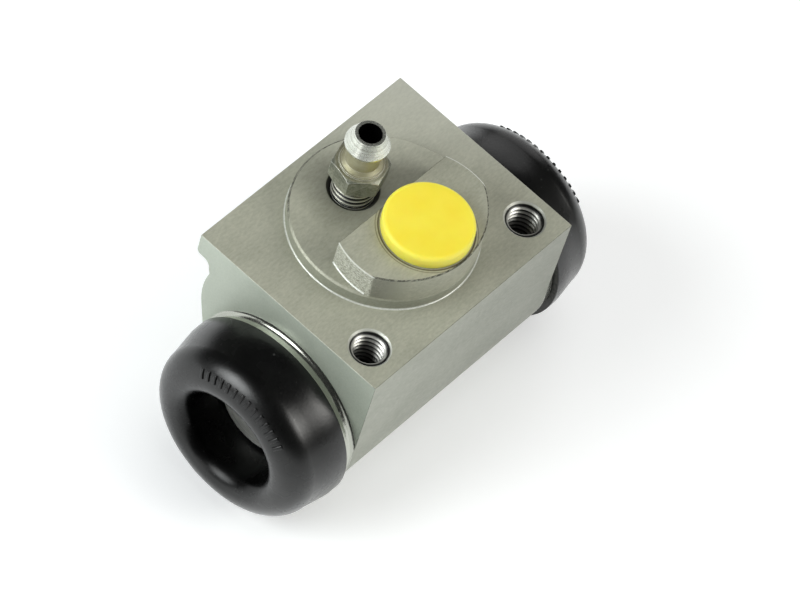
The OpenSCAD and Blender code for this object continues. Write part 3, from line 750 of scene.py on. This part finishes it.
def make_fillets():
    """Fine fillets that the cutter leaves at the foot of the spigot and of the raised half's two ends."""
    ring = turned_mesh("spigot_fillet", cove(SPIGOT_R, 0.0, SPIGOT_FILLET), Matrix.Identity(4), 256)
    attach(add_piece("spigot_fillet", ring, BRIGHT), "housing")
    centre = Matrix.Translation(Vector((0, BOSS_END_Y, 0)) * MM)
    outline = cove(BOSS_END_R, SPIGOT_H, RAISED_FILLET)
    for end, start in RAISED_START.items():
        name = f"raised_{end}_fillet"
        foot = turned_mesh(name, outline, centre, 24, start, RAISED_SWEEP)
        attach(add_piece(name, foot, BRIGHT), "housing")


for end, side in (("front", -1), ("rear", 1)):
    make_boot(end, side)
make_fillets()


# Pieces that repeat or follow a path


def grown_tree(name, inputs):
    """Empty Geometry Nodes tree with named inputs and a Material input."""
    tree = bpy.data.node_groups.new(name, "GeometryNodeTree")
    tree.is_modifier = True
    for label, kind in [*inputs, ("Material", "NodeSocketMaterial")]:
        tree.interface.new_socket(label, in_out="INPUT", socket_type=kind)
    tree.interface.new_socket("Geometry", in_out="OUTPUT", socket_type="NodeSocketGeometry")
    return tree, node(tree, "NodeGroupInput").outputs


def end_tree(tree, given, geometry):
    """Realizes the instances, sets the finish and gives the result out."""
    whole = node(tree, "GeometryNodeRealizeInstances", {"Geometry": geometry}).outputs[0]
    dressed = node(
        tree, "GeometryNodeSetMaterial", {"Geometry": whole, "Material": given["Material"]}
    ).outputs[0]
    feed(tree, node(tree, "NodeGroupOutput").inputs[0], dressed)
    return tree


def wound_line(tree, given):
    """Spiral about Z with its normals held level."""
    rise = calc(tree, "MULTIPLY", given["Pitch"], given["Turns"])
    spiral = node(
        tree, "GeometryNodeCurveSpiral",
        {
            "Resolution": given["Points"], "Rotations": given["Turns"],
            "Start Radius": given["Radius"], "End Radius": given["Radius"], "Height": rise, "Reverse": True,
        },
    ).outputs[0]
    return node(tree, "GeometryNodeSetCurveNormal", {"Curve": spiral}, mode="Z_UP").outputs[0]


WOUND_INPUTS = [
    ("Radius", FLOAT), ("Pitch", FLOAT), ("Turns", FLOAT), ("Points", "NodeSocketInt"),
]


def make_thread_tree():
    """Ridge of a screw thread that thins out at both ends, repeated along a row of holes."""
    tree, given = grown_tree(
        "thread_ridge",
        WOUND_INPUTS
        + [
            ("Foot", FLOAT), ("Tip", FLOAT), ("Depth", FLOAT), ("Outward", FLOAT),
            ("Copies", "NodeSocketInt"), ("Start", VECTOR), ("Step", VECTOR),
        ],
    )
    section = node(
        tree, "GeometryNodeCurvePrimitiveQuadrilateral",
        {"Height": given["Depth"], "Bottom Width": given["Foot"], "Top Width": given["Tip"], "Offset": 0.0},
        mode="TRAPEZOID",
    ).outputs[0]
    quarter = times(tree, given["Outward"], -math.pi / 2)
    turn = node(tree, "ShaderNodeCombineXYZ", {"Z": quarter}).outputs[0]
    reach = times(tree, given["Depth"], given["Outward"], 0.5)
    ridge = node(
        tree, "GeometryNodeTransform",
        {
            "Geometry": section, "Rotation": turn,
            "Translation": node(tree, "ShaderNodeCombineXYZ", {"X": reach}).outputs[0],
        },
    ).outputs[0]
    along = node(tree, "GeometryNodeSplineParameter").outputs["Factor"]
    near_end = calc(tree, "MINIMUM", along, calc(tree, "SUBTRACT", 1.0, along))
    size = calc(tree, "MINIMUM", times(tree, near_end, given["Turns"], 3.0), 1.0)
    swept = node(
        tree, "GeometryNodeCurveToMesh",
        {
            "Curve": wound_line(tree, given), "Profile Curve": ridge, "Fill Caps": True,
            "Scale": calc(tree, "MAXIMUM", size, 0.02),
        },
    ).outputs[0]
    row = node(
        tree, "GeometryNodeMeshLine",
        {"Count": given["Copies"], "Start Location": given["Start"], "Offset": given["Step"]},
    ).outputs[0]
    spread = node(tree, "GeometryNodeInstanceOnPoints", {"Points": row, "Instance": swept}).outputs[0]
    return end_tree(tree, given, spread)


def make_coil_tree():
    """Round wire wound into a coil."""
    tree, given = grown_tree("coil_wire", WOUND_INPUTS + [("Wire", FLOAT), ("Sides", "NodeSocketInt")])
    section = node(
        tree, "GeometryNodeCurvePrimitiveCircle",
        {"Resolution": given["Sides"], "Radius": given["Wire"]},
        mode="RADIUS",
    ).outputs[0]
    swept = node(
        tree, "GeometryNodeCurveToMesh",
        {"Curve": wound_line(tree, given), "Profile Curve": section, "Fill Caps": True},
    ).outputs[0]
    return end_tree(tree, given, swept)


def make_bar_tree():
    """Short raised bars on a round shoulder, spread by an angle about Z."""
    tree, given = grown_tree(
        "shoulder_bars",
        [
            ("Shoulder", VECTOR), ("Curve", FLOAT), ("From", FLOAT), ("Over", FLOAT),
            ("Points", "NodeSocketInt"), ("Width", FLOAT), ("Height", FLOAT), ("Round", FLOAT),
            ("Copies", "NodeSocketInt"), ("First", FLOAT), ("Step", FLOAT),
        ],
    )
    line = node(
        tree, "GeometryNodeCurveArc",
        {
            "Resolution": given["Points"], "Radius": given["Curve"],
            "Start Angle": given["From"], "Sweep Angle": given["Over"],
        },
        mode="RADIUS",
    ).outputs[0]
    section = node(
        tree, "GeometryNodeCurvePrimitiveQuadrilateral",
        {"Width": given["Height"], "Height": given["Width"]},
        mode="RECTANGLE",
    ).outputs[0]
    soft = node(
        tree, "GeometryNodeFilletCurve",
        {"Curve": section, "Radius": given["Round"], "Count": 4},
        mode="POLY",
    ).outputs[0]
    level = node(tree, "GeometryNodeSetCurveNormal", {"Curve": line}, mode="Z_UP").outputs[0]
    bar = node(
        tree, "GeometryNodeCurveToMesh", {"Curve": level, "Profile Curve": soft, "Fill Caps": True}
    ).outputs[0]
    upright = node(
        tree, "GeometryNodeTransform",
        {"Geometry": bar, "Translation": given["Shoulder"], "Rotation": (math.pi / 2, 0.0, 0.0)},
    ).outputs[0]
    index = node(tree, "GeometryNodeInputIndex").outputs[0]
    angle = calc(tree, "ADD", given["First"], times(tree, index, given["Step"]))
    turn = node(tree, "ShaderNodeCombineXYZ", {"Z": angle}).outputs[0]
    points = node(
        tree, "GeometryNodeMeshLine", {"Count": given["Copies"], "Offset": (0.0, 0.0, 0.0)}
    ).outputs[0]
    spread = node(
        tree, "GeometryNodeInstanceOnPoints", {"Points": points, "Instance": upright, "Rotation": turn}
    ).outputs[0]
    return end_tree(tree, given, spread)


def grown_mesh(name, tree, values, finish, place):
    """Plain mesh that a tree makes with these inputs, put in place."""
    carrier = bpy.data.objects.new(name + "_carrier", bpy.data.meshes.new(name + "_carrier"))
    bpy.context.scene.collection.objects.link(carrier)
    grow = carrier.modifiers.new("grow", "NODES")
    grow.node_group = tree
    values = {**values, "Material": finish}
    for item in tree.interface.items_tree:
        if item.in_out == "INPUT":
            grow[item.identifier] = values[item.name]
    graph = bpy.context.evaluated_depsgraph_get()
    grown = bpy.data.meshes.new_from_object(carrier.evaluated_get(graph))
    bpy.data.objects.remove(carrier)
    form = bmesh.new()
    form.from_mesh(grown)
    bpy.data.meshes.remove(grown)
    bmesh.ops.remove_doubles(form, verts=form.verts, dist=1e-7)
    bmesh.ops.recalc_face_normals(form, faces=form.faces)
    form.transform(place)
    return plain_mesh(name, form)


THREAD = make_thread_tree()
COIL = make_coil_tree()
BARS = make_bar_tree()


def make_threads():
    """Threads in the two tapped holes and on the bleed screw's bare shank."""
    cut = {"Pitch": THREAD_PITCH * MM, "Points": 64, "Foot": THREAD_FOOT * MM}
    holes = grown_mesh(
        "hole_threads", THREAD,
        {
            **cut, "Radius": (HOLE_R + 0.02) * MM, "Turns": HOLE_THREAD_TURNS,
            "Tip": 0.16 * MM, "Depth": 0.52 * MM, "Outward": -1.0, "Copies": 2,
            "Start": (-HOLE_PITCH / 2 * MM, HOLE_Y * MM, HOLE_THREAD_LOW * MM),
            "Step": (HOLE_PITCH * MM, 0.0, 0.0),
        },
        CUT_THREAD, Matrix.Identity(4),
    )
    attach(add_piece("hole_threads", holes, CUT_THREAD), "housing")
    shank = grown_mesh(
        "bleed_thread", THREAD,
        {
            **cut, "Radius": BLEED_THREAD_R * MM, "Turns": BLEED_THREAD_TURNS,
            "Tip": 0.14 * MM, "Depth": 0.42 * MM, "Outward": 1.0, "Copies": 1,
            "Start": (0.0, BLEED_Y * MM, BLEED_THREAD_LOW * MM),
            "Step": (0.0, 0.0, 0.0),
        },
        ZINC, Matrix.Identity(4),
    )
    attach(add_piece("bleed_thread", shank, ZINC), "bleeder")


def make_spring():
    """Inner spring as two halves, each stretching from the middle of the bore to its piston."""
    for end, side in (("front", -1), ("rear", 1)):
        half = grown_mesh(
            f"spring_{end}", COIL,
            {
                "Radius": COIL_R * MM, "Pitch": (COIL_REACH - WIRE_R) / COIL_TURNS * MM,
                "Turns": COIL_TURNS, "Points": 40, "Wire": WIRE_R * MM, "Sides": 12,
            },
            WIRE, on_bore(side),
        )
        piece = add_piece(f"spring_{end}", half, WIRE)
        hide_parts("spring")
        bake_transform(piece)


def make_bars():
    """Plain raised bars on the shoulder of each boot."""
    for end, side in (("front", -1), ("rear", 1)):
        mesh = grown_mesh(
            f"boot_{end}_bars", BARS,
            {
                "Shoulder": (FRONT[0] * MM, 0.0, FRONT[1] * MM), "Curve": (FRONT_R + 0.02) * MM,
                "From": math.radians(BAR_FROM), "Over": math.radians(BAR_OVER), "Points": 7,
                "Width": BAR_WIDTH * MM, "Height": BAR_HEIGHT * MM, "Round": BAR_ROUND * MM,
                "Copies": BAR_COUNT,
                "First": math.radians(BAR_FIRST) * side, "Step": math.radians(BAR_STEP) * side,
            },
            BOOT_RUBBER, on_bore(side),
        )
        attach(add_piece(f"boot_{end}_bars", mesh, BOOT_RUBBER), f"{end}_piston")


make_threads()
make_spring()
make_bars()


# Studio


def add_softbox(name, direction, distance, size, watts, colour, mirrored=True):
    """Round softbox that looks at the part's middle; it may be left out of what shiny pieces mirror."""
    lamp = bpy.data.lights.new(name, "AREA")
    lamp.shape = "DISK"
    lamp.size = size
    lamp.energy = watts
    lamp.color = colour
    box = bpy.data.objects.new(name, lamp)
    bpy.context.scene.collection.objects.link(box)
    box.visible_glossy = mirrored
    middle = Vector((0, 0, -0.012))
    away = Vector(direction).normalized()
    box.location = middle + away * distance
    box.rotation_euler = away.to_track_quat("Z", "Y").to_euler()


def add_floor():
    """Plain floor that keeps the shadow; a glow for the camera and for reflections makes it white."""
    form = bmesh.new()
    bmesh.ops.create_grid(form, x_segments=1, y_segments=1, size=4.0)
    mesh = bpy.data.meshes.new("floor")
    form.to_mesh(mesh)
    form.free()
    floor = bpy.data.objects.new("floor", mesh)
    bpy.context.scene.collection.objects.link(floor)
    floor.location.z = cad_low.z - 0.0002
    paper, tree, shader, place = new_finish("white_paper")
    shader.inputs["Base Color"].default_value = (0.86, 0.875, 0.88, 1)
    shader.inputs["Roughness"].default_value = 0.8
    shader.inputs["Specular IOR Level"].default_value = 0.1
    shader.inputs["Emission Color"].default_value = (1, 1, 1, 1)
    path = node(tree, "ShaderNodeLightPath").outputs
    mirrored = either(tree, path["Is Glossy Ray"], path["Is Transmission Ray"])
    x, y, z = coordinates(tree, place)
    away = length2(tree, x, y)
    near, far = 250.0, 1300.0
    seen = times(tree, path["Is Camera Ray"], ramp(tree, away, near, far, 0.31, 0.95))
    shown = times(tree, mirrored, ramp(tree, away, near, far, 0.22, 0.90))
    feed(tree, shader.inputs["Emission Strength"], calc(tree, "ADD", seen, shown))
    mesh.materials.append(paper)


def set_world():
    """Dim grey room round the softboxes."""
    world = bpy.data.worlds.new("studio")
    bpy.context.scene.world = world
    world.use_nodes = True
    tree = world.node_tree
    tree.nodes.clear()
    back = node(tree, "ShaderNodeBackground", {"Color": (1, 1, 1, 1), "Strength": 0.03})
    tree.links.new(back.outputs[0], node(tree, "ShaderNodeOutputWorld").inputs["Surface"])


def add_camera():
    """Camera at the photograph's place."""
    eye = bpy.data.cameras.new("camera")
    eye.sensor_width = 36.0
    eye.lens = 232.97
    eye.clip_start = 0.01
    camera = bpy.data.objects.new("camera", eye)
    bpy.context.scene.collection.objects.link(camera)
    right = Vector((0.66237, -0.72585, 0.18552))
    up = Vector((0.54609, 0.6373, 0.54373))
    back = Vector((-0.51289, -0.25884, 0.8185))
    stand = Matrix((right, up, back)).transposed().to_4x4()
    stand.translation = Vector((-403.81, -210.58, 631.77)) * MM
    camera.matrix_world = stand
    bpy.context.scene.camera = camera


LEFT = (-0.72, 0.42, 0.55)
RIGHT = (0.36, -0.77, 0.53)
COOL = (0.97, 1.0, 1.0)
WARM = (1.0, 0.99, 0.95)
WHITE = (1.0, 1.0, 1.0)

add_camera()
add_floor()
set_world()
add_softbox("left_softbox", LEFT, 0.60, 0.44, 2.7, COOL)
add_softbox("left_lamp", LEFT, 0.59, 0.22, 0.4, COOL)
add_softbox("right_softbox", RIGHT, 0.60, 0.40, 1.3, WARM)
add_softbox("right_lamp", RIGHT, 0.59, 0.20, 0.4, WARM)
add_softbox("left_card", (-0.99, 0.03, 0.15), 0.60, 0.22, 0.14, WHITE)
add_softbox("back_softbox", (0.80, 0.41, 0.40), 0.60, 0.50, 0.5, WHITE)
add_softbox("top_softbox", (0.20, -0.05, 1.0), 0.90, 0.90, 2.9, WHITE, mirrored=False)
bpy.context.scene.view_settings.view_transform = "Standard"
